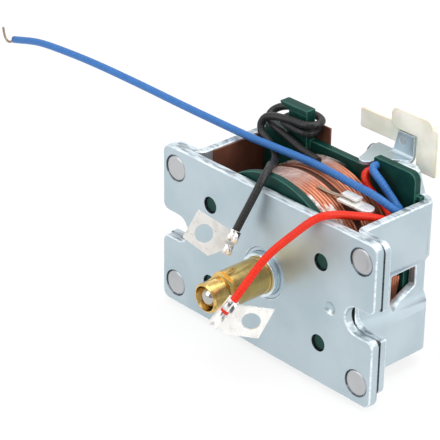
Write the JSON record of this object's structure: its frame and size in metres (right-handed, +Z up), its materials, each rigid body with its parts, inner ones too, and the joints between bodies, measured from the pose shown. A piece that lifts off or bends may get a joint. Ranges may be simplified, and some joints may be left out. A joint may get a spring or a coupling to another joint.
{
  "type": "starter solenoid",
  "caption": "Push-type starter solenoid: open steel yoke around copper windings, sprung plunger with brass push sleeve and ball, release lever, sleeved leads and flag terminals.",
  "frame": {"origin": "under the middle of the plunger assembly's length, on the plane that the bobbin's flanges stand on", "axes": "+X across the front plate, +Y from the push sleeve towards the release lever, +Z up"},
  "size_m": [0.1881, 0.0756, 0.0718],
  "materials": {
    "zinc": "zinc plated, slightly blue, satin",
    "rivet_zinc": "zinc plated, swaged",
    "green_plastic": "dark green moulded thermoset",
    "copper_wire": "enamelled copper wire, lacquered",
    "film": "clear polyester film, glossy",
    "dark_board": "dark varnished pressboard",
    "brown_board": "brown pressboard",
    "core_steel": "bare turned steel",
    "brass": "turned brass",
    "ball_steel": "polished hardened steel",
    "spring_steel": "drawn spring wire",
    "dark_steel": "phosphated spring steel",
    "nylon": "natural nylon, translucent",
    "blue_sleeve": "blue varnished sleeve",
    "red_sleeve": "red varnished sleeve",
    "black_sleeve": "black varnished sleeve",
    "tinned": "bright tinned copper"
  },
  "bodies": {
    "frame": {"front_plate": "zinc", "yoke_frame": "zinc", "plate_rivets": "rivet_zinc", "coil_bobbin": "green_plastic", "pull_in_winding": "copper_wire", "hold_in_winding": "copper_wire", "front_film": "film", "rear_film": "film", "coil_divider": "dark_board", "insulation_board": "brown_board", "pole_core": "core_steel", "guide_tube": "brass", "rear_bush": "brass", "return_spring": "spring_steel", "lever_bracket": "zinc", "bracket_rivets": "rivet_zinc", "lever_pin": "core_steel", "pin_clip": "dark_steel", "splice_clip": "tinned", "blue_lead": "blue_sleeve", "blue_wire_end": "copper_wire", "red_lead": "red_sleeve", "red_terminal": "tinned", "black_lead": "black_sleeve", "black_terminal": "tinned"},
    "plunger": {"plunger": "zinc", "push_sleeve": "brass", "striker_disc": "core_steel", "retaining_ring": "dark_steel"},
    "ball": {"thrust_ball": "ball_steel"},
    "lever": {"release_lever": "zinc", "trip_finger": "nylon", "finger_rivet": "rivet_zinc"}
  },
  "joints": [
    {"name": "plunger_slide", "type": "slide", "parent": "frame", "child": "plunger", "axis": [0, -1, 0], "range_m": [0, 0.0075], "stiffness_N_per_m": 600, "springref_m": -0.008, "deforming": ["return_spring"]},
    {"name": "ball_spin", "type": "hinge", "parent": "plunger", "child": "ball", "pos_m": [0, -0.033, 0.0272], "axis": [0, 1, 0], "continuous": true},
    {"name": "lever_tilt", "type": "hinge", "parent": "frame", "child": "lever", "pos_m": [0.0086, 0.02615, 0.0537], "axis": [-1, 0, 0], "range_deg": [0, 26.3]}
  ],
  "couplings": [
    {"joint": "lever_tilt", "follows": "plunger_slide", "rad_per_m": 60.505}
  ]
}
